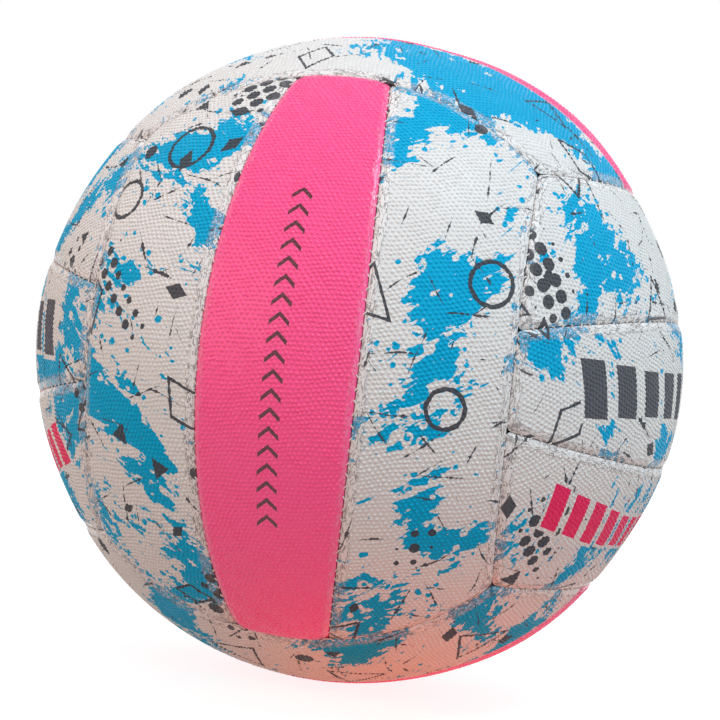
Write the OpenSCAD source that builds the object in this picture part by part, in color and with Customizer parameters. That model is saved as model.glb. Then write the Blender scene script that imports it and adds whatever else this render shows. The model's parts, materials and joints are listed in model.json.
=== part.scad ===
// Netball: an inflated ball with a cover of 18 stitched panels, three strips on each of six faces.
// The origin is the ball's centre and +Z is up. The front face looks along -Y, and the valve is in
// the middle of the back face, at +Y. The strips run along Z on the front and back faces, along X
// on the top and bottom faces, and along Y on the left and right faces. Lengths are in millimetres.

/* [Ball] */
// Circumference of the inflated ball
ball_circumference = 700; // [620:1:780]

/* [Panel layout] */
// Angle at the ball's centre from the middle of a face to the long seams of its centre panel
strip_angle = 12.7; // [10:0.1:16]
// Tilt of the seam circles between two faces, which makes each face wider at its ends
face_tilt = 5.6; // [2:0.1:8]

/* [Cover panels] */
// Thickness of the pimpled cover
cover_wall = 1.5; // [1.2:0.1:2.2]
// Gap between the edges of two panels that are stitched together
seam_gap = 0.3; // [0.2:0.05:0.5]
// Distance from the seam at which a panel starts to round down into the groove
roll_width = 2.4; // [1.8:0.1:3.4]
// Depth of a panel's edge below the ball's surface
roll_depth = 0.8; // [0.5:0.05:1]

/* [Linings] */
// Thickness of the woven lining under each panel
lining_wall = 1.2; // [1:0.1:2]
// Width of the channel between two linings, where the seam's thread lies
thread_channel = 1.8; // [1.4:0.1:2.6]
// Thickness of the glue between two layers
glue_line = 0.05; // [0.03:0.01:0.1]

/* [Seam thread] */
// Diameter of the waxed thread
thread_d = 0.8; // [0.5:0.05:0.95]
// Distance from the end of a thread to the seam or corner where it stops
thread_stop = 1.3; // [1.1:0.1:2]

/* [Bladder] */
// Thickness of the bladder
bladder_wall = 0.8; // [0.5:0.05:1.5]

/* [Valve] */
// Diameter of the valve's stem
stem_d = 8; // [7:0.1:10]
// Length of the stem
stem_length = 17; // [15:0.5:22]
// Depth of the stem's face below the ball's surface
stem_recess = 0.3; // [0.1:0.05:0.6]
// Clearance round the stem in the cover and the lining
stem_clearance = 0.15; // [0.05:0.05:0.3]
// Diameter of the flange that is bonded inside the bladder
flange_d = 24; // [18:0.5:30]
// Thickness of the flange
flange_wall = 1.2; // [0.8:0.1:2]
// Diameter of the patch round the stem, between bladder and lining
patch_d = 32; // [24:0.5:36]
// Thickness of the patch
patch_wall = 0.4; // [0.2:0.05:0.5]

/* [Valve plug] */
// Diameter of the plug's head
plug_head_d = 5.6; // [5:0.1:6.2]
// Thickness of the plug's head
plug_head_wall = 1.4; // [1:0.1:2]
// Diameter of the plug's shank
plug_d = 4; // [3.4:0.1:4.6]
// Length of the plug with its head
plug_length = 14; // [12.5:0.5:14.5]
// Clearance round the plug in the stem
plug_clearance = 0.05; // [0.02:0.01:0.1]
// Diameter of the hole for the inflation needle
needle_d = 2; // [1.6:0.1:2.4]
// Depth of the needle's hole from the plug's face
needle_depth = 9; // [7:0.5:10.5]
// Diameter of the cone that guides the needle in
guide_d = 3.2; // [2.8:0.1:4]
// Depth of that cone
guide_depth = 0.8; // [0.5:0.1:1.2]
// Width of the slit that closes behind the needle
slit_width = 0.1; // [0.05:0.01:0.2]
// Length of the slit across the plug
slit_length = 2.6; // [2:0.1:3]

/* [Hidden] */
$fn = 180;

// Overrun of every cut past the surface that it opens
overrun = 2;

// Radii of the layers, from the outside in
ball_r = ball_circumference / (2 * PI);
cover_inner_r = ball_r - cover_wall;
lining_outer_r = cover_inner_r - glue_line;
lining_inner_r = lining_outer_r - lining_wall;
bladder_outer_r = lining_inner_r - glue_line;
bladder_inner_r = bladder_outer_r - bladder_wall;

// Height to which the blocks and cones that cut a strip out of a shell reach, and the height at
// which a block starts, clear of the cones' tips
reach = ball_r + 2 * overrun;
block_base_share = 0.4;
block_base = block_base_share * ball_r;
// Angle from the middle of a face to the far wall of a side strip's block, past the corners
block_side = 50;

// A seam lies on a circle of the ball, which a cone from the ball's centre cuts out. This is the
// half angle of a cone between two faces, which passes through the corners where three faces meet.
corner_share = 1 / sqrt(3);
face_cone = acos(corner_share * (cos(face_tilt) - sin(face_tilt)));
// A long seam inside a face is a great circle, so its cone is flat.
strip_cone = 90;

// A panel rounds down along an arc from the ball's surface to its own edge. The arc leaves the
// surface at this angle and turns down steadily.
roll_start = 6;
roll_run = roll_width - seam_gap / 2;
roll_chord = sqrt(roll_run * roll_run + roll_depth * roll_depth);
roll_turn = atan(roll_depth / roll_run) - roll_start;
roll_r = roll_chord / (2 * sin(roll_turn));
roll_centre = [ball_r - roll_r * cos(roll_start), roll_width + roll_r * sin(roll_start)];
// The cutter reaches a little deeper and wider than the groove.
groove_depth_share = 1.3;
groove_width_share = 1.25;

// A thread lies against the cover, in the channel between two linings. Half the angle of its arc
// is measured about the seam circle's axis, from the middle of the seam.
thread_r = cover_inner_r - glue_line - thread_d / 2;
corner_turn = asin(corner_share / sin(face_cone));
edge_thread_turn = corner_turn - arc_angle(thread_stop, thread_r * sin(face_cone));
strip_end = strip_end_angle(strip_angle);
strip_thread_turn = strip_end - arc_angle(thread_stop, thread_r);

// The stem's face and the ends of the valve's pieces, as heights above the ball's centre
stem_face = ball_r - stem_recess;
stem_end = stem_face - stem_length;
plug_end = stem_face - plug_length;
needle_end = stem_face - needle_depth;
patch_outer_r = bladder_outer_r + glue_line + patch_wall;
flange_outer_r = bladder_inner_r - glue_line;

pink = [0.96, 0.29, 0.52];
white = [0.90, 0.91, 0.91];
cloth = [0.85, 0.82, 0.74];
thread_white = [0.93, 0.90, 0.88];
black = [0.10, 0.10, 0.11];
dark = [0.20, 0.20, 0.21];

// Each face has a name, the turn from its own frame, in which it looks along +Z with its strips
// along Y, its neighbours on the -X and +X sides of that frame, and its centre panel's colour.
faces = [
    ["front", [90, 0, 0], ["left", "right"], pink],
    ["back", [90, 0, 180], ["right", "left"], pink],
    ["top", [0, 0, -90], ["back", "front"], pink],
    ["bottom", [180, 0, 90], ["front", "back"], pink],
    ["left", [0, -90, 0], ["bottom", "top"], white],
    ["right", [0, 90, 0], ["top", "bottom"], white]
];
valve_face = faces[1];

// Names of the pieces of one face: strip is -1, 0 or 1 from -X to +X in the face's own frame
function strip_name(face, strip) =
    str(face[0], "_", strip == 0 ? "centre" : face[2][(strip + 1) / 2]);
function panel_name(face, strip) = str(strip_name(face, strip), "_panel");
function lining_name(face, strip) = str(strip_name(face, strip), "_lining");
function edge_thread_name(face, side) = str(strip_name(face, side), "_thread");
function strip_threads_name(face) = str(face[0], "_strip_threads");

// Angle of an arc of a given length
function arc_angle(length, radius) = length / radius * 180 / PI;

// Angle along a face, from its middle to where a great circle that leans by lean about the strips'
// direction meets the seam at the face's end: the point where a*cos(u) - b*sin(u) = cos(face_cone)
function strip_end_angle(lean) =
    let (
        a = cos(face_tilt) * cos(lean),
        b = sin(face_tilt)
    )
    acos(cos(face_cone) / norm([a, b])) - atan(b / a);

// Turns a face's own frame to the face's place on the ball
module on_face(face) {
    rotate(face[1]) children();
}

// Turns +Z to the axis of a seam circle along a long side, where lean is the angle past square
module about_long_seam(side, lean) {
    rotate([0, side * (90 + lean), 0]) children();
}

// Turns +Z to the axis of the seam circle at one end of a face
module about_end_seam(end) {
    rotate([end * face_tilt, 0, 0]) children();
}

module shell(outer_r, inner_r) {
    difference() {
        sphere(outer_r);
        sphere(inner_r);
    }
}

// The inside of a face cone, with its wall moved inwards by inset, or outwards where it is negative
module cone_inside(inset) {
    translate([0, 0, inset / sin(face_cone)])
        cylinder(h = reach, r1 = 0, r2 = reach * tan(face_cone));
}

// A wall of a block, from its base to its top: it leans by lean from the middle of the face and is
// moved across the face by shift
function block_wall(side, lean, shift) = [
    for (height = [block_base, reach]) [side * (height * tan(lean) + shift), height]
];
function backwards(points) = [for (i = [len(points) - 1 : -1 : 0]) points[i]];

// The block that holds one strip, with its walls at the long seams inside the face moved inwards
// by inset. A side strip's far wall stands clear of the panel.
module strip_block(strip, inset) {
    shift = inset / cos(strip_angle);
    near = strip == 0 ? block_wall(1, strip_angle, -shift) : block_wall(strip, strip_angle, shift);
    far = strip == 0 ? block_wall(-1, strip_angle, -shift) : block_wall(strip, block_side, 0);
    rotate([90, 0, 0])
        linear_extrude(height = 2 * reach, center = true)
            polygon(concat(near, backwards(far)));
}

// The part of a shell that one strip covers, with its edges held back from the seams by inset
module strip_of_shell(strip, outer_r, inner_r, inset) {
    difference() {
        intersection() {
            strip_block(strip, inset);
            about_end_seam(1) cone_inside(inset);
            about_end_seam(-1) cone_inside(inset);
            sphere(outer_r);
        }
        if (strip != 0) about_long_seam(strip, face_tilt) cone_inside(-inset);
        sphere(inner_r);
    }
}

// The ring that rounds the panel edges down along a seam circle
module seam_groove(half_angle) {
    rotate_extrude()
        rotate(90 - half_angle)
            difference() {
                translate([ball_r - groove_depth_share * roll_depth, -groove_width_share * roll_width])
                    square([groove_depth_share * roll_depth + overrun, 2 * groove_width_share * roll_width]);
                translate(roll_centre) circle(roll_r);
                mirror([0, 1]) translate(roll_centre) circle(roll_r);
            }
}

// A hole through the layers above the bladder for the valve's stem
module stem_hole(clearance) {
    cylinder(h = reach, d = stem_d + 2 * clearance);
}

// One pimpled cover panel
module cover_panel(face, strip) {
    color(strip == 0 ? face[3] : white)
        on_face(face)
            difference() {
                strip_of_shell(strip, ball_r, cover_inner_r, seam_gap / 2);
                for (end = [-1, 1]) about_end_seam(end) seam_groove(face_cone);
                if (strip == 0) {
                    for (side = [-1, 1]) about_long_seam(side, strip_angle) seam_groove(strip_cone);
                } else {
                    about_long_seam(strip, strip_angle) seam_groove(strip_cone);
                    about_long_seam(strip, face_tilt) seam_groove(face_cone);
                }
                if (face == valve_face && strip == 0) stem_hole(stem_clearance);
            }
}

// The woven lining that is glued under one panel, with a seat for the valve's patch
module panel_lining(face, strip) {
    color(cloth)
        on_face(face)
            difference() {
                strip_of_shell(strip, lining_outer_r, lining_inner_r, thread_channel / 2);
                if (face == valve_face && strip == 0) {
                    stem_hole(stem_clearance);
                    intersection() {
                        sphere(patch_outer_r + glue_line);
                        cylinder(h = reach, d = patch_d + 2 * stem_clearance);
                    }
                }
            }
}

// A thread's arc round +Z, centred on the angle middle
module thread_arc(half_angle, middle, turn) {
    rotate([0, 0, middle - turn])
        rotate_extrude(angle = 2 * turn)
            rotate(90 - half_angle)
                translate([thread_r, 0]) circle(d = thread_d);
}

// The middle of a long seam as an angle about the seam circle's axis
function seam_middle(side) = side > 0 ? 180 : 0;

// The thread of the seam between a face and its neighbour on one long side
module edge_thread(face, side) {
    color(thread_white)
        on_face(face)
            about_long_seam(side, face_tilt)
                thread_arc(face_cone, seam_middle(side), edge_thread_turn);
}

// The threads of the two long seams inside a face
module strip_threads(face) {
    color(thread_white)
        on_face(face)
            for (side = [-1, 1])
                about_long_seam(side, strip_angle)
                    thread_arc(strip_cone, seam_middle(side), strip_thread_turn);
}

// The airtight bladder, with the hole for the stem
module bladder() {
    color(black)
        on_face(valve_face)
            difference() {
                shell(bladder_outer_r, bladder_inner_r);
                stem_hole(glue_line);
            }
}

// The patch that stops the bladder tearing round the stem
module valve_patch() {
    color(dark)
        on_face(valve_face)
            difference() {
                intersection() {
                    shell(patch_outer_r, bladder_outer_r + glue_line);
                    cylinder(h = reach, d = patch_d);
                }
                stem_hole(glue_line);
            }
}

// The stem and its flange, with a stepped hole for the plug
module valve_housing() {
    color(black)
        on_face(valve_face)
            difference() {
                union() {
                    translate([0, 0, stem_end]) cylinder(h = stem_length, d = stem_d);
                    intersection() {
                        shell(flange_outer_r, flange_outer_r - flange_wall);
                        cylinder(h = reach, d = flange_d);
                    }
                }
                translate([0, 0, stem_end - overrun])
                    cylinder(h = stem_length + 2 * overrun, d = plug_d + 2 * plug_clearance);
                translate([0, 0, stem_face - plug_head_wall])
                    cylinder(h = plug_head_wall + overrun, d = plug_head_d + 2 * plug_clearance);
            }
}

// The soft plug that the needle goes through, with the slit that closes behind it
module valve_plug() {
    color(dark)
        on_face(valve_face)
            difference() {
                union() {
                    translate([0, 0, plug_end]) cylinder(h = plug_length, d = plug_d);
                    translate([0, 0, stem_face - plug_head_wall])
                        cylinder(h = plug_head_wall, d = plug_head_d);
                }
                translate([0, 0, needle_end]) cylinder(h = needle_depth + overrun, d = needle_d);
                translate([0, 0, stem_face - guide_depth])
                    cylinder(h = guide_depth, d1 = needle_d, d2 = guide_d);
                translate([-slit_width / 2, -slit_length / 2, plug_end - overrun])
                    cube([slit_width, slit_length, needle_end - plug_end + 2 * overrun]);
            }
}

for (face = faces) {
    for (strip = [-1 : 1]) {
        cover_panel(face, strip);
        panel_lining(face, strip);
    }
    for (side = [-1, 1]) {
        edge_thread(face, side);
    }
    strip_threads(face);
}
bladder();
valve_patch();
valve_housing();
valve_plug();
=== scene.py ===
# A netball: eighteen pimpled cover panels round a bladder, held by stitched seams
import json
import math
from functools import partialmethod
import bpy
import numpy as np
from mathutils import Matrix


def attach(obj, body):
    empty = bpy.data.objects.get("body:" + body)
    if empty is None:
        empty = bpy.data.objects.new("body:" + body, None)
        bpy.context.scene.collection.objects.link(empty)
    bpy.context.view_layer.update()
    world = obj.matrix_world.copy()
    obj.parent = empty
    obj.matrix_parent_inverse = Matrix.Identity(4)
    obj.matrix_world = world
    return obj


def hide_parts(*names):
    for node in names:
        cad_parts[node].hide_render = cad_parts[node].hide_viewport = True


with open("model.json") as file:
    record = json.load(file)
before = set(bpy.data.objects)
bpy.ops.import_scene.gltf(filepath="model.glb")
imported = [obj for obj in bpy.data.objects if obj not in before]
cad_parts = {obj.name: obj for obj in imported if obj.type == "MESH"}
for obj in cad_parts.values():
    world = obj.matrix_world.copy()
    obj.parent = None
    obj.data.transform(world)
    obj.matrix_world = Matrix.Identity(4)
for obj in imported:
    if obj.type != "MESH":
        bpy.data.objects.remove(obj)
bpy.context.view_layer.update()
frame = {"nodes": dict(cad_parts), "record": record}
mm = 0.001
mounts = {mount["name"]: mount for mount in frame["record"]["mounts"]}
ballRadius = -mounts["ball_rest"]["pos_m"][2]  # the ball rests on its lowest point


def unit(vectors):
    return vectors / np.linalg.norm(vectors, axis=-1, keepdims=True)


def addObject(name, data):
    item = bpy.data.objects.new(name, data)
    bpy.context.scene.collection.objects.link(item)
    return item


def standBack(item, right, up, back, distance):
    # Puts a camera or a lamp the distance back from the ball's middle, looking at it
    place = np.eye(4)
    place[:3, :3] = np.stack([right, up, back], 1)
    place[:3, 3] = back * distance
    item.matrix_world = Matrix(place.tolist())


# Camera: it stands where the photograph was taken from
cameraView = {
    "azimuth": math.radians(12.77),  # round the ball from the front face towards the right face
    "elevation": math.radians(0.61),
    "roll": math.radians(6.37),
    "distance": 0.614,
    "lens": 87.6,
    "clipStart": 0.01,
}


def cameraAxes(azimuth, elevation, roll):
    # The way back from the ball to the lens, then the picture's right and up, turned about it by the roll
    back = np.array([
        math.sin(azimuth) * math.cos(elevation),
        -math.cos(azimuth) * math.cos(elevation),
        math.sin(elevation),
    ])
    level = np.array([math.cos(azimuth), math.sin(azimuth), 0.0])
    right = math.cos(roll) * level + math.sin(roll) * np.cross(back, level)
    return right, np.cross(back, right), back


viewRight, viewUp, viewBack = cameraAxes(cameraView["azimuth"], cameraView["elevation"], cameraView["roll"])


def makeCamera(sizes):
    data = bpy.data.cameras.new("photoCamera")
    data.lens = sizes["lens"]
    data.clip_start = sizes["clipStart"]
    camera = addObject("photoCamera", data)
    standBack(camera, viewRight, viewUp, viewBack, sizes["distance"])
    bpy.context.scene.camera = camera
    print("camera", sizes["distance"], "m from the ball's middle")


makeCamera(cameraView)


# Node helpers
class Signal:
    # What runs along a shader link. Sums, products and comparisons of signals make Math nodes
    def __init__(self, socket):
        self.socket = socket
        self.tree = socket.id_data

    def math(self, operation, *others, output=0):
        kind = "VectorMath" if self.socket.type == "VECTOR" else "Math"
        return addNode(self.tree, kind, dict(enumerate((self,) + others)), output, operation=operation)

    __add__ = partialmethod(math, "ADD")
    __sub__ = partialmethod(math, "SUBTRACT")
    __mul__ = partialmethod(math, "MULTIPLY")
    __truediv__ = partialmethod(math, "DIVIDE")
    __lt__ = partialmethod(math, "LESS_THAN")
    __abs__ = partialmethod(math, "ABSOLUTE")


def feed(node, inputs):
    # Each input is a plain value, or a signal that gets a link
    for name, value in inputs.items():
        if isinstance(value, Signal):
            value.tree.links.new(value.socket, node.inputs[name])
        else:
            node.inputs[name].default_value = value


def addNode(tree, kind, inputs=None, output=0, **settings):
    # One shader node, and the signal from one of its outputs, or a list of them where output is a tuple
    node = tree.nodes.new("ShaderNode" + kind)
    for name, value in settings.items():
        setattr(node, name, value)
    feed(node, inputs or {})
    if isinstance(output, tuple):
        return [Signal(node.outputs[name]) for name in output]
    return Signal(node.outputs[output])


def ramp(value, low, high, toLow=0.0, toHigh=1.0):
    # A soft step from toLow to toHigh as the value goes from low to high
    inputs = {"Value": value, "From Min": low, "From Max": high, "To Min": toLow, "To Max": toHigh}
    return addNode(value.tree, "MapRange", inputs, "Result", interpolation_type="SMOOTHSTEP")


def noise(place, size, detail=2.0, roughness=0.5, distortion=0.0):
    # Noise whose lumps are about size metres across
    names = ("Vector", "Scale", "Detail", "Roughness", "Distortion")
    return addNode(place.tree, "TexNoise", dict(zip(names, (place, 1 / size, detail, roughness, distortion))))


def chanceOf(number):
    # The same chance value from 0 to 1 for every place with the same number
    return addNode(number.tree, "TexWhiteNoise", {"W": number}, "Value", noise_dimensions="1D")


def cellsOf(place, scale, outputs, **inputs):
    inputs = {"Vector": place, "Scale": scale} | inputs
    return addNode(place.tree, "TexVoronoi", inputs, outputs, voronoi_dimensions="2D")


def turned(place, angle):
    return addNode(place.tree, "VectorRotate", {"Vector": place, "Angle": angle}, rotation_type="Z_AXIS")


def joined(first, *others):
    # A place with these coordinates
    return addNode(first.tree, "CombineXYZ", dict(enumerate((first,) + others)))


def split(signal, kind="XYZ"):
    return addNode(signal.tree, "Separate" + kind, {0: signal}, (0, 1, 2))


def choose(factor, under, over):
    return addNode(factor.tree, "Mix", {0: factor, 2: under, 3: over})


def mixColour(factor, under, over):
    inputs = {0: factor, 6: under, 7: over}
    return addNode(factor.tree, "Mix", inputs, 2, data_type="RGBA", clamp_factor=True)


def toned(colour, factor):
    return [min(1.0, c * factor) for c in colour[:3]] + [1]


def attribute(tree, name, output="Fac"):
    return addNode(tree, "Attribute", None, output, attribute_name=name)


def makeGroup(name, build, inputs, outputs=("Mask",)):
    # A node group: its inputs with their values, where None is a place, and what build makes of them
    group = bpy.data.node_groups.new(name, "ShaderNodeTree")
    for label, value in inputs.items():
        kind = "NodeSocketVector" if value is None else "NodeSocketFloat"
        socket = group.interface.new_socket(label, in_out="INPUT", socket_type=kind)
        if value is not None:
            socket.default_value = value
    for label in outputs:
        group.interface.new_socket(label, in_out="OUTPUT", socket_type="NodeSocketFloat")
    given = group.nodes.new("NodeGroupInput").outputs
    found = build(*[Signal(given[label]) for label in inputs])
    feed(group.nodes.new("NodeGroupOutput"), dict(zip(outputs, found)))
    return group


def useGroup(tree, group, inputs):
    node = tree.nodes.new("ShaderNodeGroup")
    node.node_tree = group
    feed(node, inputs)
    return {output.name: Signal(output) for output in node.outputs}


def newMaterial(name):
    material = bpy.data.materials.new(name)
    material.use_nodes = True
    tree = material.node_tree
    return material, tree, tree.nodes["Principled BSDF"]


def finishShader(shader, colour, rough, *bumps):
    # Colour, roughness and bumps, each a height and its depth, laid one on another
    normal = {}
    for height, depth in bumps:
        normal = {"Normal": addNode(height.tree, "Bump", {"Height": height, "Distance": depth} | normal)}
    feed(shader, {"Base Color": colour, "Roughness": rough} | normal)


# Shared effects
def grainParts(place, size):
    # Uneven skin of moulded rubber: a fine noise for its height and a broad one for its shade
    scaled = place / size
    return noise(scaled, 1.0, 3.0, 0.6), noise(scaled, 70.0)


def creaseParts(edge, along, seed, width):
    # Worm-like creases beside a seam: ridges of a noise that is drawn out along it, up to a width that sways
    limit = noise(joined(along, seed), 9 * mm) * (2.6 * mm) + (width - 1.3 * mm)
    band = ramp(edge - limit, -0.7 * mm, 0.5 * mm, 1.0, 0.0)
    worm = noise(joined(edge * (1 / (1.15 * mm)), along * (1 / (3.4 * mm)), seed), 1.0, 2.5, 0.55, 0.9)
    line = ramp(abs(worm - 0.5), 0.012, 0.05, 1.0, 0.0)
    return band, worm * band, line * band


def splashParts(place, level):
    # Paint splashes: a broad, a ragged and a streaky noise added up and cut off at a level, with drops about
    # them and bare spots within
    slanted = turned(place, 0.6)
    drawn = slanted * (1.0, 0.6, 1.0)
    broad = noise(drawn, 27 * mm, 1.0, 0.5, 0.5)
    ragged = noise(drawn, 6.5 * mm, 3.0, 0.6, 0.9)
    streaky = noise(slanted * (1.0, 0.3, 1.0), 2.2 * mm, 2.5, 0.6, 0.4)
    above = broad * 0.55 + ragged * 0.25 + streaky * 0.20 - level
    near = ramp(above, -0.075, -0.03)
    distance, colour = cellsOf(place, 1 / (5 * mm), ("Distance", "Color"))
    size = split(colour, "Color")[0].math("POWER", 2.0) * 0.3
    rim = size * ramp(above, 0.02, 0.07, 1.3, 0.0)
    inside = ramp(above, 0.0, 0.006) * (rim < distance)
    drop = (distance < size * near) * (above < 0.0)
    return inside.math("MAXIMUM", drop), near


def strokeParts(place, turn, pitch, width):
    # Long thin scratches: lines a pitch apart, each with its own offset and bent a little, as wide as a noise
    # along them says, so that most of each is missing and the rest is broken up
    slanted = turned(place, turn)
    x, y, _ = split(slanted)
    count = x / pitch + noise(slanted, 25 * mm, 1.0) * 0.5
    line = count.math("FLOOR")
    middle = chanceOf(line) * 0.8 + 0.1
    off = abs(count.math("FRACT") - middle) * pitch
    along = joined(y, line * 0.1)
    present = ramp(noise(along, 20 * mm, 1.0), 0.52, 0.62)
    thick = ramp(noise(along, 2.8 * mm, 3.0, 0.7), 0.36, 0.8)
    return [off < present * thick * width]


def figureParts(place, pitch, share, line, filled):
    # Rings, triangles and lozenges, outlined or filled, one in some of the cells of a Voronoi pattern, each
    # turned its own way
    flat = place * (1.0, 1.0, 0.0)
    colour, middle = cellsOf(flat, pitch.math("POWER", -1.0), ("Color", "Position"), Randomness=0.7)
    angle, size, kind = split(colour, "Color")
    x, y, _ = split(turned(flat - middle, angle * (2 * math.pi)))
    wide = abs(x)
    ring = (x * x + y * y).math("SQRT")
    slope = wide * 0.866 + y * 0.5
    triangle = slope.math("MAXIMUM", y * -1.0) * 1.5
    lozenge = wide * 1.25 + abs(y) * 0.75
    shape = choose(kind < 0.2, choose(kind < 0.62, lozenge, triangle), ring)
    past = shape - pitch * (size * 0.11 + 0.13)
    uneven = noise(place, 2.4 * mm) * -0.8 + 0.9
    drawn = choose(filled, abs(past), past) < line * uneven
    return [drawn * ((size * 7.0).math("FRACT") < share)]


def dotParts(place, pitch, level):
    # Printed dots in rows, each as large as a broad noise says at its middle, so that their patches fade out
    count = turned(place, 0.3) * (1.0, 1.0, 0.0) / pitch
    middle = count.math("FLOOR") + (0.5, 0.5, 0.0)
    size = ramp(noise(middle * pitch, 34 * mm, 0.0) - level, 0.0, 0.11, 0.0, 0.42)
    return [count.math("DISTANCE", middle, output="Value") < size]


def barParts(along, across, length, height, pitch, rim):
    # A row of slanted bars with a bare rim round each: how far a point lies outside its own bar is the larger
    # of its excess across the bar and its excess along it, and every bar has its own height
    slanted = across * -0.25 + along
    number = (slanted / pitch).math("FLOOR")
    middle = (number + 0.5) * pitch
    aside = abs(slanted - middle) - pitch * 0.33
    outside = aside.math("MAXIMUM", abs(across) - height * (chanceOf(number) * 0.16 + 0.34))
    inRow = abs(middle) < length * 0.5
    return (outside < 0.0) * inRow, (outside < rim) * inRow


def chevronParts(along, across, length, height, pitch, stroke):
    # A line of small chevrons: a point is dark where its place along the line, more by its reach across,
    # falls in the first part of a pitch
    reach = abs(across)
    count = (reach * 0.9 + along) / pitch
    number = count.math("FLOOR")
    drawn = ((count - number) * pitch < stroke) * (reach * 2.0 < height)
    return [drawn * (abs(number) * (pitch * 2.0) < length)]


def weaveParts(place, yarn):
    # Plain weave: two sine waves at right angles, whose product lifts one set of yarns over the other in
    # turn. Its shade adds the weave to a noise, so the cloth is darker where the yarns sink: painted shade
    x, y, z = split(place / yarn)
    weave = ((x + z) * math.pi).math("SINE") * ((y - z) * math.pi).math("SINE") * 0.5 + 0.5
    return weave, noise(place, 3 * mm, 3.0) * 0.35 + weave * 0.5


grain = makeGroup("rubberGrain", grainParts, {"Place": None, "Size": 0.35 * mm}, ("Height", "Shade"))
edges = {"Edge": 0.0, "Along": 0.0, "Seed": 0.0, "Width": 3.0 * mm}
creases = makeGroup("seamCreases", creaseParts, edges, ("Band", "Height", "Line"))
splashes = makeGroup("sheetSplashes", splashParts, {"Place": None, "Level": 0.53}, ("Mask", "Near"))
figureSizes = {"Place": None, "Pitch": 40 * mm, "Share": 0.6, "Line": 1.4 * mm, "Filled": 0.0}
figures = makeGroup("sheetFigures", figureParts, figureSizes)
strokeSizes = {"Place": None, "Turn": 0.0, "Pitch": 16 * mm, "Width": 0.95 * mm}
strokes = makeGroup("sheetStrokes", strokeParts, strokeSizes)
dots = makeGroup("sheetDots", dotParts, {"Place": None, "Pitch": 5.2 * mm, "Level": 0.67})
row = {"Along": 0.0, "Across": 0.0}
barSizes = {"Length": 164 * mm, "Height": 20 * mm, "Pitch": 15 * mm, "Rim": 1.6 * mm}
barRow = makeGroup("barRow", barParts, row | barSizes, ("Bars", "Rims"))
chevronSizes = {"Length": 104 * mm, "Height": 6.2 * mm, "Pitch": 5.6 * mm, "Stroke": 1.5 * mm}
chevronLine = makeGroup("chevronLine", chevronParts, row | chevronSizes)
weave = makeGroup("clothWeave", weaveParts, {"Place": None, "Yarn": 0.5 * mm}, ("Height", "Shade"))
print("node groups", len(bpy.data.node_groups))


# Cover materials
coverInk = {
    "pink": (1.0, 0.068, 0.28, 1),
    # paler pink of the crease lines: scuffs, partly painted highlight
    "pinkScuffAndHighlight": (0.78, 0.34, 0.42, 1),
    "white": (0.72, 0.72, 0.71, 1),
    "whiteWorn": (0.80, 0.79, 0.78, 1),
    # dark grey of the crease lines on the printed panels: painted shade in the creases
    "creaseShadeGrey": (0.17, 0.15, 0.15, 1),
    "cyan": (0.0, 0.385, 0.65, 1),
    "cyanWorn": (0.17, 0.36, 0.60, 1),
    "darkGrey": (0.058, 0.063, 0.076, 1),
    "barGrey": (0.1, 0.104, 0.124, 1),
    "markRed": (0.80, 0.03, 0.14, 1),
    "chevron": (0.10, 0.006, 0.02, 1),
    "grainDepth": 0.03 * mm,
    "creaseDepth": 0.4 * mm,
    "pinkBand": 2.2 * mm,  # how far the creases reach from a seam
    "printBand": 3.3 * mm,
    "pinkRoughness": 0.26,
    "printRoughness": 0.33,
    "pinkGloss": 0.6,
    "printGloss": 0.1,
    "threads": {"Turn": 0.9, "Pitch": 7 * mm, "Width": 0.7 * mm},  # thin splashes, drawn out long
    "smallFigures": {"Pitch": 15 * mm, "Share": 0.18, "Line": 0.2 * mm, "Filled": 1.0},
    "scratches": ((0.15, 15 * mm), (0.85, 21 * mm), (1.5, 13 * mm), (2.4, 17 * mm)),  # turn and pitch
}


def sheetPlace(tree):
    # Each panel is cut from its own place on the sheet, turned its own way, as its seed says
    seed = attribute(tree, "panelSeed")
    return turned(attribute(tree, "stripPlace", "Vector"), seed * 5.0) + joined(seed, 0.0, seed * 0.31)


def stripAxes(tree):
    # Distance along the strip from its middle, and across it
    along, across, _ = split(attribute(tree, "stripPlace", "Vector"))
    return {"Along": along, "Across": across}


def edgeBand(tree, width):
    seams = {"Edge": "edgeDistance", "Along": "seamAlong", "Seed": "panelSeed"}
    inputs = {label: attribute(tree, name) for label, name in seams.items()}
    return useGroup(tree, creases, inputs | {"Width": width})


def finishCover(tree, shader, colour, inks, kind, band, place):
    # What all cover panels share; kind is pink or print, whose roughness and gloss differ
    skin = useGroup(tree, grain, {"Place": place})
    rough = band["Band"] * -0.08 + (skin["Shade"] * 0.16 + (inks[kind + "Roughness"] - 0.08))
    bumps = (band["Height"], inks["creaseDepth"]), (skin["Height"], inks["grainDepth"])
    finishShader(shader, colour, rough, *bumps)
    shader.inputs["Specular IOR Level"].default_value = inks[kind + "Gloss"]


def pinkCover(name, inks, marked):
    material, tree, shader = newMaterial(name)
    place = sheetPlace(tree)
    band = edgeBand(tree, inks["pinkBand"])
    colour = mixColour(noise(place, 35 * mm), inks["pink"], toned(inks["pink"], 0.93))
    if marked:
        line = useGroup(tree, chevronLine, stripAxes(tree))["Mask"]
        colour = mixColour(line, colour, inks["chevron"])
    # The crease lines on the pink are paler: scuffs, partly painted highlight
    colour = mixColour(band["Line"] * 0.5, colour, inks["pinkScuffAndHighlight"])
    finishCover(tree, shader, colour, inks, "pink", band, place)
    return material


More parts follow.
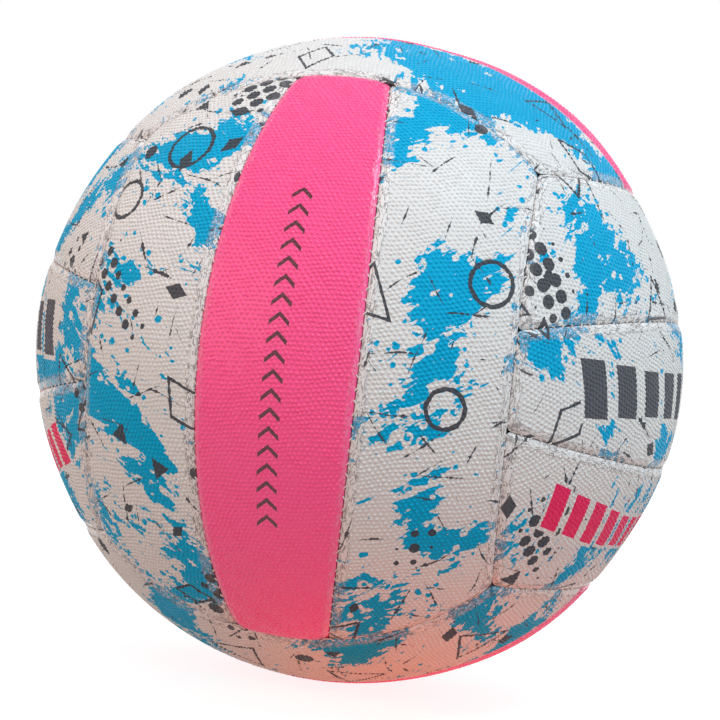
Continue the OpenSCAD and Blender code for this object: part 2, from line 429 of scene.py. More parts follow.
def printedCover(name, inks, bars=None):
    # White, then cyan splashes, then grey figures, dots and scratches, all worn off beside the seams; bars
    # are the ink, height, pitch and rim of a row of bars along the strip
    material, tree, shader = newMaterial(name)
    place = sheetPlace(tree)
    band = edgeBand(tree, inks["printBand"])

    def masked(group, inputs):
        return useGroup(tree, group, {"Place": place} | inputs)["Mask"]

    splash = useGroup(tree, splashes, {"Place": place})
    paint = splash["Mask"].math("MAXIMUM", masked(strokes, inks["threads"]) * splash["Near"])
    marks = masked(figures, {})
    scratches = [masked(strokes, {"Turn": turn, "Pitch": pitch}) for turn, pitch in inks["scratches"]]
    for other in [masked(figures, inks["smallFigures"]), masked(dots, {})] + scratches:
        marks = marks.math("MAXIMUM", other)
    wear = band["Band"] * ramp(noise(place, 0.8 * mm, 3.0, 0.65), 0.42, 0.62)
    colour = mixColour(band["Band"] * 0.8, inks["white"], inks["whiteWorn"])
    cyan = mixColour(wear, inks["cyan"], inks["cyanWorn"])
    colour = mixColour(paint * (wear * -0.5 + 1.0), colour, cyan)
    colour = mixColour(marks * 0.97, colour, inks["darkGrey"])
    if bars:
        ink, height, pitch, rim = bars
        found = useGroup(tree, barRow, stripAxes(tree) | {"Height": height, "Pitch": pitch, "Rim": rim})
        colour = mixColour(found["Rims"], colour, inks["white"])
        colour = mixColour(found["Bars"], colour, inks[ink])
    # The crease lines on the print are darkened with painted shade
    colour = mixColour(band["Line"] * 0.75, colour, inks["creaseShadeGrey"])
    finishCover(tree, shader, colour, inks, "print", band, place)
    return material


coverFinish = {
    "pink": pinkCover("pinkCover", coverInk, False),
    "pinkMarked": pinkCover("pinkMarkedCover", coverInk, True),
    "printed": printedCover("printedCover", coverInk),
    "darkBars": printedCover("darkBarCover", coverInk, ("barGrey", 21 * mm, 16 * mm, 1.6 * mm)),
    "redBars": printedCover("redBarCover", coverInk, ("markRed", 16 * mm, 11 * mm, 1.2 * mm)),
}


# Inner materials, which the valve's opening and a cut-away view show
innerKinds = {
    # group, its size's name, darkest and lightest tone, spread of the roughness, depth of the bumps
    "rubber": (grain, "Size", (1.0, 1.6), 0.2, 0.03 * mm),
    "cloth": (weave, "Yarn", (0.55, 1.0), 0.1, 0.12 * mm),
}


def innerMaterial(name, kind, colour, rough, size):
    group, label, tones, spread, depth = innerKinds[kind]
    material, tree, shader = newMaterial(name)
    place = addNode(tree, "TexCoord", None, "Object")
    skin = useGroup(tree, group, {"Place": place, label: size})
    # Tone by the group's shade: a random tone for rubber, and for cloth also painted shade where the yarns
    # sink
    tone = mixColour(skin["Shade"], *[toned(colour, factor) for factor in tones])
    finishShader(shader, tone, skin["Shade"] * spread + (rough - spread / 2), (skin["Height"], depth))
    return material


innerFinish = {
    # by the last word of the node's name
    "bladder": innerMaterial("bladderRubber", "rubber", (0.018, 0.018, 0.020), 0.45, 0.8 * mm),
    "housing": innerMaterial("valveRubber", "rubber", (0.022, 0.022, 0.024), 0.38, 0.4 * mm),
    "plug": innerMaterial("plugRubber", "rubber", (0.035, 0.034, 0.034), 0.5, 0.3 * mm),
    "patch": innerMaterial("patchCloth", "cloth", (0.06, 0.06, 0.06), 0.83, 0.45 * mm),
    "lining": innerMaterial("liningCloth", "cloth", (0.62, 0.57, 0.46), 0.83, 0.5 * mm),
}


def threadMaterial():
    # Waxed thread: bands that run round it on a slant, as its twisted plies do, darker in the grooves between
    # the plies as painted shade
    material, tree, shader = newMaterial("waxedThread")
    plies = attribute(tree, "plyTurn").math("SINE") * 0.5 + 0.5
    colour = mixColour(plies, (0.58, 0.48, 0.46, 1), (0.84, 0.79, 0.76, 1))
    finishShader(shader, colour, plies * -0.15 + 0.6, (plies, 0.05 * mm))
    return material


threadFinish = threadMaterial()
print("materials", len(bpy.data.materials))


# Layout of the cover. In a face's own frame x runs across its strips, y along them and z out of it, and a
# direction is (sin v cos u, sin u, cos v cos u), so u goes along the strips and v across them. The table has
# each face's x and y in the ball's frame, and the faces beside its low and its high side strip
layout = {
    "stripAngle": math.radians(12.7),  # half the centre strip's width
    "faceTilt": math.radians(5.6),  # how far a face's long edges lean out over its neighbours' ends
}
faces = {
    "front": ((1, 0, 0), (0, 0, 1), ("left", "right")),
    "back": ((-1, 0, 0), (0, 0, 1), ("right", "left")),
    "top": ((0, -1, 0), (1, 0, 0), ("back", "front")),
    "bottom": ((0, 1, 0), (1, 0, 0), ("front", "back")),
    "left": ((0, 0, 1), (0, 1, 0), ("bottom", "top")),
    "right": ((0, 0, -1), (0, 1, 0), ("top", "bottom")),
}
strip = layout["stripAngle"]
tilt = layout["faceTilt"]
seamCosine = (math.cos(tilt) - math.sin(tilt)) / math.sqrt(3)
seamCone = math.acos(seamCosine)  # half-angle of the cones that the seams between faces lie on
cornerTurn = math.asin(1 / math.sqrt(3))  # u where three faces meet


def directions(u, v):
    return np.stack([np.sin(v) * np.cos(u), np.sin(u), np.cos(v) * np.cos(u)], -1)


def turnsOf(points):
    return np.arcsin(np.clip(points[..., 1], -1, 1)), np.arctan2(points[..., 0], points[..., 2])


def longSeam(u, inset=0.0):
    # v of a face's long seam: the cone about an axis that leans by the tilt, kept an inset inside
    return tilt + np.arcsin(math.cos(seamCone + inset / ballRadius) / np.cos(u))


def endSeam(v, inset=0.0):
    # u where the strips end, on the cone about an axis that leans the other way
    reach = np.hypot(math.cos(tilt) * np.cos(v), math.sin(tilt))
    lean = np.arctan2(math.sin(tilt), math.cos(tilt) * np.cos(v))
    return np.arccos(math.cos(seamCone - inset / ballRadius) / reach) - lean


def stripSeam(u, inset=0.0):
    # v of the seam between centre and side strip, moved outwards by an inset
    return strip + np.arcsin(math.sin(inset / ballRadius) / np.cos(u))


def acrossEdges(position, u, inset):
    # The lowest and highest v of the strip at position -1, 0 or 1, kept an inset inside its seams
    if position == 0:
        return -stripSeam(u, -inset), stripSeam(u, -inset)
    if position > 0:
        return stripSeam(u, inset), longSeam(u, inset)
    return -longSeam(u, inset), -stripSeam(u, inset)


def seamAxes(position):
    # Per seam, at the lowest v, highest v, lowest u and highest u: its cone's axis, half-angle, and -1 inside
    seams = []
    for side in (-1, 1):
        lean, half = (tilt, seamCone) if position == side else (strip, math.pi / 2)
        axis = directions(0, (position or side) * (math.pi / 2 + lean))
        seams.append((axis, half, -1 if position == -side else 1))
    return seams + [(directions(end * tilt, 0), seamCone, -1) for end in (1, -1)]


def seamDistances(points, position):
    # Distance from each seam in metres along the ball, over 0 on the panel's side: the angle past the cone
    found = []
    for axis, half, side in seamAxes(position):
        turn = np.arccos(np.clip(points @ axis, -1, 1))
        found.append((turn - half) * side * ballRadius)
    return np.stack(found, -1)


# Cover panels
cover = {
    "wall": 1.5 * mm,
    "seamGap": 0.15 * mm,
    "baseDrop": 0.22 * mm,  # the skin between the pimples lies this far under the measured radius
    "rollWidth": 2.6 * mm,
    "rollDepth": 0.85 * mm,
    "cornerRound": 1.8 * mm,
    "cornerRoll": 4.2 * mm,  # the skin already sinks outside this larger arc
    "cornerSlope": 0.25,
    "puckerDepth": 0.10 * mm,
    "puckerWidth": 1.5 * mm,
    "stitch": 3.7 * mm,
    "rimLines": [0, 0.05 * mm, 0.18 * mm, 0.4 * mm, 0.75 * mm, 1.2 * mm, 1.8 * mm, 2.6 * mm],
    "acrossStep": 1.9 * mm,
    "alongStep": 1.5 * mm,
    "underEvery": 5,  # the underside has every fifth line of the outside
    "settleRounds": 12,
    "settleShare": 0.6,
    "cornerRounds": 4,
    "finishes": {
        # face and place on it, -1, 0 or 1; all others are printed
        ("front", 0): "pinkMarked",
        ("back", 0): "pink",
        ("top", 0): "pink",
        ("bottom", 0): "pink",
        ("left", 0): "darkBars",
        ("right", 0): "darkBars",
        ("right", 1): "redBars",
        ("left", -1): "redBars",
    },
}
pimples = {
    "pitch": 1.55 * mm,
    "rings": [(0.70 * mm, -0.12 * mm), (0.46 * mm, 0.17 * mm)],  # radius and height over the skin
    "top": 0.29 * mm,
    "stray": 0.07 * mm,  # how far one pimple may lie out of its row
    "sizeSpread": 0.09,
    "sizeLimit": 0.15,
    "smallest": 0.45,  # share of its full size that a pimple has nearest to a seam
    "sides": 6,
    "reach": 130 * mm,  # half the pattern's size, more than a strip takes up
    "turns": (math.radians(56), math.radians(50)),  # u and v that no strip goes beyond
    "margins": {
        # none nearer to a seam than the first, and full size from the second on
        "pink_cover": (1.3 * mm, 2.4 * mm),
        "white_cover": (2.3 * mm, 3.6 * mm),
    },
    "rowTurn": math.radians(10),
    "rowScatter": math.radians(5),
    "wander": 0.28 * mm,  # how far the rows sway to either side
    "wanderLength": 17 * mm,
}
# Unevenness of the pumped-up ball: degrees clockwise round its outline in the photograph, height, spread
bulges = [
    (35, -0.8 * mm, 11),
    (60, 0.6 * mm, 11),
    (155, -0.8 * mm, 11),
    (190, 0.5 * mm, 10),
    (235, 0.5 * mm, 12),
    (285, -0.7 * mm, 8),
    (310, 0.6 * mm, 10),
    (335, -1.2 * mm, 12),
    (350, -0.5 * mm, 6),
]
bulgeFront = 0.18  # how far before the outline their middles lie


def bulgeHeight(world):
    # Sum of soft bumps, each falling off with the angle from its direction as a bell curve does
    height = np.zeros(world.shape[:-1])
    for turn, rise, spread in bulges:
        angle = math.radians(turn)
        middle = unit(math.cos(angle) * viewRight - math.sin(angle) * viewUp + bulgeFront * viewBack)
        away = np.arccos(np.clip(world @ middle, -1, 1)) / math.radians(spread)
        height += rise * np.exp(-away ** 2)
    return height


def spacedLines(length, step):
    # Lines that crowd together at both ends and are a step apart between, as shares of the length
    rim = np.array(cover["rimLines"])
    count = max(2, round((length - 2 * rim[-1]) / step))
    inner = np.linspace(rim[-1], length - rim[-1], count + 1)
    return np.concatenate([rim[:-1], inner, length - rim[-2::-1]]) / length


def panelGrid(position):
    # Directions on the strip, across it from seam to seam and along it from end to end. u and v each limit
    # the other, so some rounds settle them
    inset = cover["seamGap"] / 2
    width = ballRadius * (2 * strip if position == 0 else longSeam(0.0) - strip)
    length = 2 * ballRadius * endSeam(strip)
    across = spacedLines(width, cover["acrossStep"])[None, :]
    along = (2 * spacedLines(length, cover["alongStep"]) - 1)[:, None]
    u = along * cornerTurn * np.ones_like(across)
    for _ in range(cover["settleRounds"]):
        low, high = acrossEdges(position, u, inset)
        v = low + (high - low) * across
        u = u + cover["settleShare"] * (along * endSeam(v, inset) - u)
    return roundCorners(directions(u, v), position)


def roundCorners(points, position):
    # Near a corner, the lines of equal distance are turned from a square into arcs: a point keeps the larger
    # of its two reaches into the corner as its distance from the arc's middle. Newton steps find the place
    rounding = cover["cornerRound"] + cover["seamGap"] / 2
    axes = seamAxes(position)
    for first in (0, 1):
        for second in (2, 3):
            pair = (first, second)
            start = seamDistances(points, position)[..., pair]
            reach = np.clip(1 - start / rounding, 0, None)
            size = np.hypot(reach[..., 0], reach[..., 1])
            shrink = reach.max(-1) / np.where(size > 0, size, 1)
            corner = (reach > 0).all(-1)
            wanted = np.where(corner[..., None], rounding * (1 - reach * shrink[..., None]), start)
            for _ in range(cover["cornerRounds"]):
                missing = wanted - seamDistances(points, position)[..., pair]
                slopes = []
                for axis, _, side in (axes[index] for index in pair):
                    slopes.append(side * unit((points @ axis)[..., None] * points - axis))
                shared = (slopes[0] * slopes[1]).sum(-1, keepdims=True)
                moves = (missing - shared * missing[..., ::-1]) / (1 - shared ** 2)
                step = moves[..., :1] * slopes[0] + moves[..., 1:] * slopes[1]
                points = unit(points + step / ballRadius)
    return points


def edgeDistance(points, position, corner):
    # Distance from the panel's rounded outline: the nearest seam's, or less inside a corner's arc
    rounding = corner + cover["seamGap"] / 2
    distances = seamDistances(points, position)
    across = distances[..., :2].min(-1)
    along = distances[..., 2:].min(-1)
    arc = rounding - np.hypot(np.clip(rounding - across, 0, None), np.clip(rounding - along, 0, None))
    return np.where(arc < rounding, arc, np.minimum(across, along)) - cover["seamGap"] / 2


def seamRun(points, position):
    # How far along the nearest seam a point lies: along the strip, or across it where its end is nearer
    distances = seamDistances(points, position)
    u, v = turnsOf(points)
    return ballRadius * np.where(distances[..., :2].min(-1) < distances[..., 2:].min(-1), u, v * np.cos(u))


def skinRadius(points, position, axes):
    # The ball's radius with its bulges, less a quarter of an ellipse into the seam and the stitches' pull
    edge = edgeDistance(points, position, cover["cornerRoll"])
    rest = np.clip(1 - edge / cover["rollWidth"], 0, 1)
    roll = cover["rollDepth"] * (1 - np.sqrt(1 - rest ** 2)) + cover["cornerSlope"] * np.clip(-edge, 0, None)
    pull = 0.5 + 0.5 * np.cos(2 * math.pi * seamRun(points, position) / cover["stitch"])
    pucker = cover["puckerDepth"] * pull * np.exp(-(edge / cover["puckerWidth"]) ** 2)
    return ballRadius - cover["baseDrop"] - roll - pucker + bulgeHeight(points @ axes.T)


def middleTurn(position):
    # v of the strip's own middle line
    return position * (strip + longSeam(0.0)) / 2


def flatPlace(points, position):
    # Place on the flat strip before it was bent round the ball: distance along it, and across its middle line
    u, v = turnsOf(points)
    return np.stack([ballRadius * u, ballRadius * (v - middleTurn(position)) * np.cos(u)], -1)


def gridShell(outer, inner, every):
    # A closed shell: quads over the outer grid, coarser ones under the inner, and a wall between their rims
    rows, columns = outer.shape[:2]
    outerIndex = np.arange(rows * columns).reshape(rows, columns)
    rowPick = np.unique(np.append(np.arange(0, rows, every), rows - 1))
    columnPick = np.unique(np.append(np.arange(0, columns, every), columns - 1))
    innerIndex = rows * columns + np.arange(len(rowPick) * len(columnPick)).reshape(len(rowPick), -1)

    def quads(index, flip):
        corners = [index[:-1, :-1], index[:-1, 1:], index[1:, 1:], index[1:, :-1]]
        return np.stack(corners[::-1] if flip else corners, -1).reshape(-1, 4)

    walls = []
    rims = [
        (outerIndex[0], innerIndex[0], columnPick),
        (outerIndex[:, -1], innerIndex[:, -1], rowPick),
        (outerIndex[-1, ::-1], innerIndex[-1, ::-1], columns - 1 - columnPick[::-1]),
        (outerIndex[::-1, 0], innerIndex[::-1, 0], rows - 1 - rowPick[::-1]),
    ]
    for fine, coarse, picks in rims:
        for k in range(len(picks) - 1):
            upper = fine[picks[k]:picks[k + 1] + 1]
            walls.append(np.concatenate([[upper[0], coarse[k], coarse[k + 1]], upper[:0:-1]]))
    vertices = np.concatenate([outer.reshape(-1, 3), inner[rowPick][:, columnPick].reshape(-1, 3)])
    return vertices, [quads(outerIndex, False), quads(innerIndex, True)] + [wall[None] for wall in walls]


def pimpleSites(position, turn, margin, chance):
    # Sites of a hexagonal pattern, turned a little, where the strip has room, with each one's size
    pitch = pimples["pitch"]
    count = int(pimples["reach"] / pitch)
    row, column = np.meshgrid(np.arange(-count, count + 1), np.arange(-count, count + 1), indexing="ij")
    flatX = (column + 0.5 * (row % 2)) * pitch
    flatY = row * pitch * math.sqrt(3) / 2
    wave = 2 * math.pi / pimples["wanderLength"]
    flatX, flatY = (
        flatX + pimples["wander"] * np.sin(wave * flatY + 1.3 * wave * flatX),
        flatY + pimples["wander"] * np.sin(0.8 * wave * flatX - 0.5 * wave * flatY + 1),
    )
    flatX, flatY = (flat + pimples["stray"] * chance.standard_normal(flat.shape) for flat in (flatX, flatY))
    along = (math.sin(turn) * flatX + math.cos(turn) * flatY).ravel()
    across = (math.cos(turn) * flatX - math.sin(turn) * flatY).ravel()
    u = along / ballRadius
    ok = np.abs(u) < pimples["turns"][0]
    u = u[ok]
    v = middleTurn(position) + across[ok] / (ballRadius * np.cos(u))
    ok = np.abs(v) < pimples["turns"][1]
    points = directions(u[ok], v[ok])
    edge = edgeDistance(points, position, cover["cornerRoll"])
    share = np.clip((edge - margin[0]) / (margin[1] - margin[0]), 0, 1)
    keep = share > 0
    spread = pimples["sizeSpread"] * chance.standard_normal(keep.sum())
    limit = pimples["sizeLimit"]
    sizes = pimples["smallest"] + (1 - pimples["smallest"]) * share[keep]
    return points[keep], sizes + np.clip(spread, -limit, limit)


def ringOf(sides, aside, up):
    # A ring of points on axes aside and up: the directions to them, their numbers and angles, and the quads
    # between the ring and the next one over it
    each = np.arange(sides)
    after = (each + 1) % sides
    angle = 2 * math.pi * each / sides
    ways = np.cos(angle)[None, :, None] * aside[:, None] + np.sin(angle)[None, :, None] * up[:, None]
    return ways, each, angle, np.stack([each, after, after + sides, each + sides], -1)


def repeated(faceSet, count, step):
    # The same faces for each of count copies of their points, which are step points apart
    return (faceSet + (np.arange(count) * step)[:, None, None]).reshape(-1, faceSet.shape[1])


def pimpleDomes(points, radius, sizes):
    # Each pimple: two rings and a tip over its site, on axes along and across the strip, closed underneath
    tangent = unit(np.cross(np.array([0.0, 1.0, 0.0]), points))
    sides = pimples["sides"]
    flat, each, _, band = ringOf(sides, tangent, np.cross(points, tangent))
    rings = []
    for reach, height in pimples["rings"]:
        lift = radius + height * sizes
        rings.append(flat * (reach * sizes)[:, None, None] + (points * lift[:, None])[:, None])
    tips = (points * (radius + pimples["top"] * sizes)[:, None])[:, None]
    vertices = np.concatenate(rings + [tips], 1)
    cap = np.stack([each + sides, band[:, 2], np.full(sides, 2 * sides)], -1)
    faceSets = [repeated(faceSet, *vertices.shape[:2]) for faceSet in (band, cap, each[None, ::-1])]
    return vertices.reshape(-1, 3), faceSets


def joinParts(parts):
    vertices, faceSets, offset = [], [], 0
    for places, sets in parts:
        vertices.append(places)
        faceSets += [faceSet + offset for faceSet in sets]
        offset += len(places)
    return np.concatenate(vertices), faceSets


def makeMesh(name, vertices, faceSets):
    # faceSets are arrays of corner indices, one row a face, each array with its own number of corners
    mesh = bpy.data.meshes.new(name)
    corners = np.concatenate([faceSet.ravel() for faceSet in faceSets]).astype(np.int32)
    counts = np.concatenate([np.full(len(faceSet), faceSet.shape[1]) for faceSet in faceSets])
    starts = np.concatenate([[0], np.cumsum(counts)[:-1]]).astype(np.int32)
    mesh.vertices.add(len(vertices))
    mesh.vertices.foreach_set("co", vertices.astype(np.float32).ravel())
    mesh.loops.add(len(corners))
    mesh.loops.foreach_set("vertex_index", corners)
    mesh.polygons.add(len(counts))
    mesh.polygons.foreach_set("loop_start", starts)
    mesh.polygons.foreach_set("use_smooth", np.ones(len(counts), bool))
    mesh.update(calc_edges=True)
    mesh.validate()
    return mesh


def readValues(items, name, kind=np.int32, width=1):
    # A value, or width of them, of each of a mesh's vertices, corners or faces
    values = np.empty(len(items) * width, kind)
    items.foreach_get(name, values)
    return values.reshape(-1, width) if width > 1 else values


def readFaces(mesh):
    # Every corner's vertex, and each face's first corner and number of corners
    corners = readValues(mesh.loops, "vertex_index")
    starts = readValues(mesh.polygons, "loop_start")
    return corners, starts, np.diff(np.append(starts, len(corners)))


def readMesh(mesh):
    # Vertices, and the faces as arrays of corner indices, one array for each number of corners
    corners, starts, counts = readFaces(mesh)
    faceSets = []
    for count in np.unique(counts):
        faceSets.append(corners[starts[counts == count][:, None] + np.arange(count)])
    return readValues(mesh.vertices, "co", np.float32, 3).astype(float), faceSets


def setValues(mesh, name, values):
    kind = "FLOAT_VECTOR" if values.ndim == 2 else "FLOAT"
    target = mesh.attributes.new(name, kind, "POINT")
    target.data.foreach_set("vector" if values.ndim == 2 else "value", values.astype(np.float32).ravel())


# A map for later baking: the strip's two halves side by side, and above them a thin row of the faces that
# point inwards. For u and v: start, span, and what the second half or the panel's depth adds
bakeSheet = {
    "half": ((0.005, 0.49, 0.5), (0.005, 0.94, 0.0)),
    "hidden": ((0.02, 0.9, 0.03), (0.955, 0.03, 0.01)),
}


def sheetPart(name, places, extra):
    starts, spans, adds = np.array(bakeSheet[name]).T
    return starts + spans * places + adds * extra[:, None]


def bakeMap(mesh, flat, points):
    corners, _, counts = readFaces(mesh)
    normals = readValues(mesh.polygons, "normal", np.float32, 3)
    middles = readValues(mesh.polygons, "center", np.float32, 3)
    outward = np.repeat((normals * middles).sum(1) > 0.1 * np.linalg.norm(middles, axis=1), counts)
    place = ((flat - flat.min(0)) / np.ptp(flat, axis=0))[corners]
    faceOf = np.repeat(np.arange(len(counts)), counts)
    upper = (np.bincount(faceOf, place[:, 0]) / counts > 0.5)[faceOf]
    depth = (ballRadius - np.linalg.norm(points[corners], axis=1)) / cover["wall"]
    half = sheetPart("half", np.stack([place[:, 1], 2 * place[:, 0] - upper], -1), upper)
    uv = np.where(outward[:, None], half, sheetPart("hidden", place, depth))
    layer = mesh.uv_layers.new(name="OFBake", do_init=False)
    layer.uv.foreach_set("vector", np.clip(uv, 0.0, 1.0).astype(np.float32).ravel())


def addPiece(name, mesh, material, node):
    mesh.materials.append(material)
    piece = addObject(name, mesh)
    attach(piece, "root")
    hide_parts(node)


def faceAxes(face):
    # Columns are the face's own x, y and z in the ball's frame
    x, y, _ = faces[face]
    return np.stack([np.array(x), np.array(y), np.cross(x, y)], 1).astype(float)


# The valve comes out through a hole in the panel over it
valve = {
    "face": "back",
    "stemRadius": 4.15 * mm,
    "rimRound": 1.1 * mm,
    "rimSteps": 7,
    "holeSides": 64,
    "flare": 0.5 * mm,
    "cutUnder": 4 * mm,  # how far the cutter reaches under the skin, and over it
    "cutOver": 3 * mm,
    "clear": 3.0 * mm,  # bare skin between the hole and the first pimples
}


def trumpetMesh():
    # A cutter turned about z: straight at the stem's radius, then a quarter circle outwards to the skin
    sides = valve["holeSides"]
    x, y, z = np.eye(3)[:, None]
    flat, ring, _, band = ringOf(sides, x, y)
    turn = np.linspace(0, math.pi / 2, valve["rimSteps"])
    skin = ballRadius - cover["baseDrop"]
    radii = valve["stemRadius"] + valve["rimRound"] * (1 - np.cos(turn))
    heights = skin - valve["rimRound"] * (1 - np.sin(turn))
    radii = np.concatenate([[valve["stemRadius"]], radii, radii[-1:] + valve["flare"]])
    heights = np.concatenate([[skin - valve["cutUnder"]], heights, [skin + valve["cutOver"]]])
    vertices = radii[:, None, None] * flat + heights[:, None, None] * z
    levels = len(radii) - 1
    faceSets = [repeated(band, levels, sides), levels * sides + ring[None], ring[None, ::-1]]
    return makeMesh("valveCutter", vertices.reshape(-1, 3), faceSets)


def cutValveHole(vertices, faceSets):
    # The shell less the trumpet, by Blender's own boolean
    shell = addObject("shellToCut", makeMesh("shellToCut", vertices, faceSets))
    cutter = addObject("valveCutter", trumpetMesh())
    cut = shell.modifiers.new("hole", "BOOLEAN")
    cut.operation = "DIFFERENCE"
    cut.solver = "EXACT"
    cut.object = cutter
    result = shell.evaluated_get(bpy.context.evaluated_depsgraph_get()).to_mesh()
    found = readMesh(result)
    for item in (shell, cutter):
        bpy.data.meshes.remove(item.data)  # its object goes with it
    return found


def makePanel(face, position, node, seed, chance):
    axes = faceAxes(face)
    grid = panelGrid(position)
    outer = grid * skinRadius(grid, position, axes)[..., None]
    inner = grid * (ballRadius - cover["wall"])
    shell = gridShell(outer, inner, cover["underEvery"])
    finish = cover["finishes"].get((face, position), "printed")
    slot = "pink_cover" if finish.startswith("pink") else "white_cover"
    turn = pimples["rowTurn"] + pimples["rowScatter"] * chance.uniform(-1, 1)
    sites, sizes = pimpleSites(position, turn, pimples["margins"][slot], chance)
    if face == valve["face"] and position == 0:
        shell = cutValveHole(*shell)
        room = np.arccos(np.clip(sites[:, 2], -1, 1)) * ballRadius - valve["stemRadius"] - valve["rimRound"]
        sites, sizes = sites[room > valve["clear"]], sizes[room > valve["clear"]]
    domes = pimpleDomes(sites, skinRadius(sites, position, axes), sizes)
    vertices, faceSets = joinParts([shell, domes])
    mesh = makeMesh(node, vertices @ axes.T, faceSets)
    ways = unit(vertices)
    flat = flatPlace(ways, position)
    setValues(mesh, "stripPlace", np.column_stack([flat, np.zeros(len(flat))]))
    setValues(mesh, "edgeDistance", edgeDistance(ways, position, cover["cornerRound"]))
    setValues(mesh, "seamAlong", seamRun(ways, position))
    setValues(mesh, "panelSeed", np.full(len(flat), seed))
    bakeMap(mesh, flat, vertices)
    addPiece(node.replace("panel", "cover"), mesh, coverFinish[finish], node)
    return len(sites), len(mesh.polygons)


def makeCover():
    chance = np.random.default_rng(11)
    totals = np.zeros(2, int)
    for number, (face, (_, _, sides)) in enumerate(faces.items()):
        for position, side in ((-1, sides[0]), (0, "centre"), (1, sides[1])):
            seed = 0.41 * (3 * number + position + 2)
            totals += makePanel(face, position, f"{face}_{side}_panel", seed, chance)
    print("cover panels", 3 * len(faces), "with", totals[0], "pimples and", totals[1], "faces")


makeCover()


# Seam threads
thread = {
    "radius": 0.25 * mm,
    "sides": 6,
    "swing": 0.65 * mm,
    "crossingDepth": 0.76 * mm,
    "runDepth": 1.05 * mm,
    "plies": 1.1 * mm,  # length of one turn of the plies
    "shares": [-0.5, -0.32, -0.2, -0.1, 0.0, 0.1, 0.2, 0.32],  # places along a stitch, from its crossing
    "crossing": 0.2,  # share of a stitch to either side in which the thread crosses over
    "riseWidth": 0.55 * mm,
    "lineSteps": 400,
    "lineShare": 0.985,  # how much of the seam the stitches take up
}


def travelAlong(path):
    return np.concatenate([[0], np.cumsum(np.linalg.norm(np.diff(path, axis=0), axis=1))])


def tubeMesh(middles, outs, radius, sides):
    # A ring of points round each place of the path, across it and outwards, with a cap at either end
    ahead = unit(np.gradient(middles, axis=0))
    aside = unit(np.cross(ahead, outs))
    ways, each, angle, band = ringOf(sides, aside, np.cross(aside, ahead))
    vertices = (middles[:, None] + radius * ways).reshape(-1, 3)
    levels = len(middles) - 1
    caps = np.stack([each, levels * sides + each[::-1]])
    turn = (2 * math.pi / thread["plies"]) * travelAlong(middles)[:, None] + 2 * angle[None]
    return vertices, [repeated(band[:, [0, 3, 2, 1]], levels, sides), caps], turn.ravel()


def stitchPath(line, sideways):
    # A thread that runs deep beside the seam and comes up where it crosses over, once in every stitch
    travel = travelAlong(line)
    stitches = int(travel[-1] / cover["stitch"]) - 1
    spare = (travel[-1] - stitches * cover["stitch"]) / 2
    shares = np.array(thread["shares"])
    number = np.arange(stitches)[:, None]
    place = (spare + (number + 0.5 + shares[None]) * cover["stitch"]).ravel()
    swing = np.clip(shares / thread["crossing"], -1, 1)[None] * np.where(number % 2 == 0, 1, -1)
    swing = (swing * thread["swing"]).ravel()
    near = np.exp(-(swing / thread["riseWidth"]) ** 2)
    depth = thread["runDepth"] + (thread["crossingDepth"] - thread["runDepth"]) * near
    outs = unit(np.stack([np.interp(place, travel, line[:, k]) for k in range(3)], -1))
    aside = np.stack([np.interp(place, travel, sideways[:, k]) for k in range(3)], -1)
    aside = unit(aside - (aside * outs).sum(1, keepdims=True) * outs)
    return outs * (ballRadius - depth)[:, None] + aside * swing[:, None], outs


def seamLine(kind, side):
    # Places along a seam, and the way across it: round a face's edge, or between two of its strips
    end = cornerTurn if kind == "edge" else endSeam(strip)
    u = np.linspace(-end, end, thread["lineSteps"]) * thread["lineShare"]
    v = longSeam(u) if kind == "edge" else np.full_like(u, strip)
    points = directions(u, side * v)
    return points * ballRadius, np.cross(np.gradient(points, axis=0), points)


def makeThread(face, node, seams):
    axes = faceAxes(face)
    parts, turns = [], []
    for kind, side in seams:
        middles, outs = stitchPath(*seamLine(kind, side))
        middles = middles + outs * bulgeHeight(outs @ axes.T)[:, None]
        vertices, faceSets, turn = tubeMesh(middles, outs, thread["radius"], thread["sides"])
        parts.append((vertices @ axes.T, faceSets))
        turns.append(turn)
    mesh = makeMesh(node, *joinParts(parts))
    setValues(mesh, "plyTurn", np.concatenate(turns))
    piece = node.replace("threads", "stitches").replace("thread", "stitching")
    addPiece(piece, mesh, threadFinish, node)


def makeThreads():
    for face, (_, _, sides) in faces.items():
        for name, side in zip(sides, (-1, 1)):
            makeThread(face, f"{face}_{name}_thread", [("edge", side)])
        makeThread(face, f"{face}_strip_threads", [("strip", -1), ("strip", 1)])
    print("seam threads", 3 * len(faces))


makeThreads()


# Pieces that the cover hides keep their solids and get their own finishes
def dressInside():
    for name, node in frame["nodes"].items():
        finish = innerFinish.get(name.split("_")[-1])
        if finish is not None:
            node.data.materials.clear()
            node.data.materials.append(finish)
    print("inner pieces dressed")


dressInside()


# Floor, light and background
studio = {
    "floorSize": 6.0,
    "floorGap": 0.25 * mm,
    "floorTone": 0.25,
    "floorRoughness": 0.9,
    "fibre": 0.6 * mm,
    "floorGlow": 0.84,  # with the light on the paper this comes to white
    "bounceNear": (1.1, 0.21, 0.08, 1),  # what the ball gets from the floor
    "bounceFar": (0.36, 0.28, 0.25, 1),
    "bounceMiddle": (0.06, -0.06, 0),
    "bounceReach": (0.02, 0.11),
    "ambient": (1.0, 0.97, 0.94, 1),
    "ambientStrength": 0.85,
    "lamps": [
        # name, way from the ball as right, up and back of the picture, distance, size, watts, colour
        ("keyLamp", (0.42, 0.82, 0.40), 1.5, 0.35, 9.5, (0.74, 0.87, 1.0)),
        ("coolLamp", (0.75, 0.2, 0.8), 1.6, 1.0, 3.6, (0.25, 0.75, 1.0)),
        ("warmLamp", (-0.9, 0.22, 0.65), 1.6, 1.5, 9.6, (1.0, 0.6, 0.5)),
    ],
}


def cameraMask(tree):
    # 1 for rays that show the background itself: from the camera, in gloss or through glass
    rays = ("Is Camera Ray", "Is Glossy Ray", "Is Transmission Ray")
    camera, glossy, through = addNode(tree, "LightPath", None, rays)
    return camera.math("MAXIMUM", glossy).math("MAXIMUM", through)


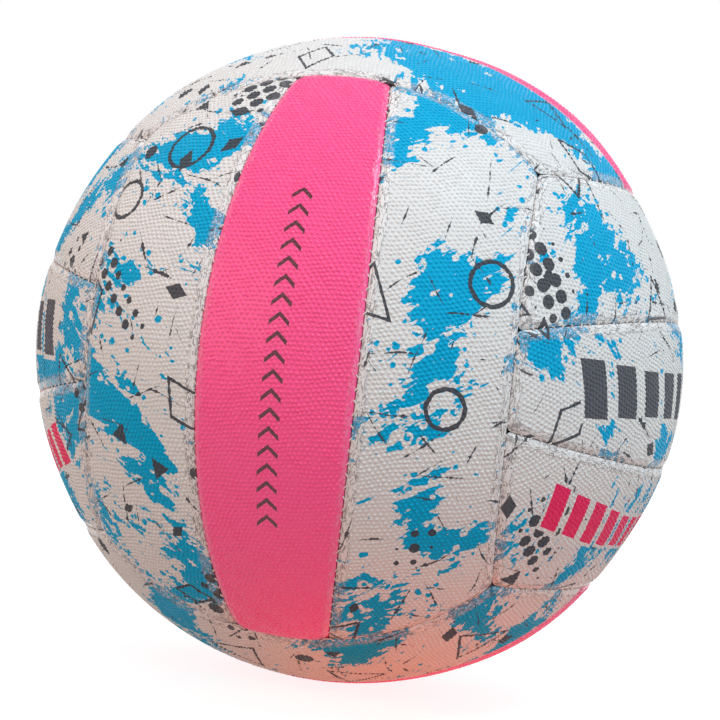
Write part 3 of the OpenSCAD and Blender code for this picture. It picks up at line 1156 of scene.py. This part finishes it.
def makeWorld(sizes):
    world = bpy.data.worlds.new("studioWorld")
    bpy.context.scene.world = world
    world.use_nodes = True
    tree = world.node_tree
    tree.nodes.clear()
    light = addNode(tree, "Background", {"Color": sizes["ambient"], "Strength": sizes["ambientStrength"]})
    shown = addNode(tree, "Background", {"Color": (1, 1, 1, 1), "Strength": 1.0})
    mixed = addNode(tree, "MixShader", {0: cameraMask(tree), 1: light, 2: shown})
    feed(tree.nodes.new("ShaderNodeOutputWorld"), {"Surface": mixed})


def makeFloor(sizes):
    half = sizes["floorSize"] / 2
    height = -ballRadius - sizes["floorGap"]
    corners = [(-half, -half), (half, -half), (half, half), (-half, half)]
    vertices = np.array([(x, y, height) for x, y in corners])
    mesh = makeMesh("studioFloor", vertices, [np.array([[0, 1, 2, 3]])])
    material, tree, shader = newMaterial("palePaper")
    place = addNode(tree, "TexCoord", None, "Object")
    tone = noise(place, sizes["fibre"], 3.0) * 0.04 + sizes["floorTone"]
    colour = addNode(tree, "CombineColor", {0: tone, 1: tone, 2: tone * 0.985})
    feed(shader, {"Base Color": colour, "Roughness": sizes["floorRoughness"]})
    mask = cameraMask(tree)
    glow = addNode(tree, "Emission", {"Color": (1, 1, 1, 1), "Strength": mask * sizes["floorGlow"]})
    seen = addNode(tree, "AddShader", {0: Signal(shader.outputs[0]), 1: glow})
    away = (place * (1.0, 1.0, 0.0)).math("DISTANCE", sizes["bounceMiddle"], output="Value")
    near = ramp(away, *sizes["bounceReach"], 1.0, 0.0)
    warm = mixColour(near, sizes["bounceFar"], sizes["bounceNear"])
    bounce = addNode(tree, "Emission", {"Color": warm, "Strength": 1.0})
    both = addNode(tree, "MixShader", {0: mask, 1: bounce, 2: seen})
    output = next(node for node in tree.nodes if node.type == "OUTPUT_MATERIAL")
    feed(output, {"Surface": both})
    mesh.materials.append(material)
    addObject("studioFloor", mesh)


def makeLamps(sizes):
    for name, way, distance, size, watts, colour in sizes["lamps"]:
        data = bpy.data.lights.new(name, "AREA")
        data.size = size
        data.energy = watts
        data.color = colour
        back = unit(way[0] * viewRight + way[1] * viewUp + way[2] * viewBack)
        aside = unit(np.cross(np.array([0.0, 0.0, 1.0]), back))
        standBack(addObject(name, data), aside, np.cross(back, aside), back, distance)
    print("lamps", len(sizes["lamps"]))


makeWorld(studio)
makeFloor(studio)
makeLamps(studio)
bpy.context.scene.view_settings.view_transform = "Standard"
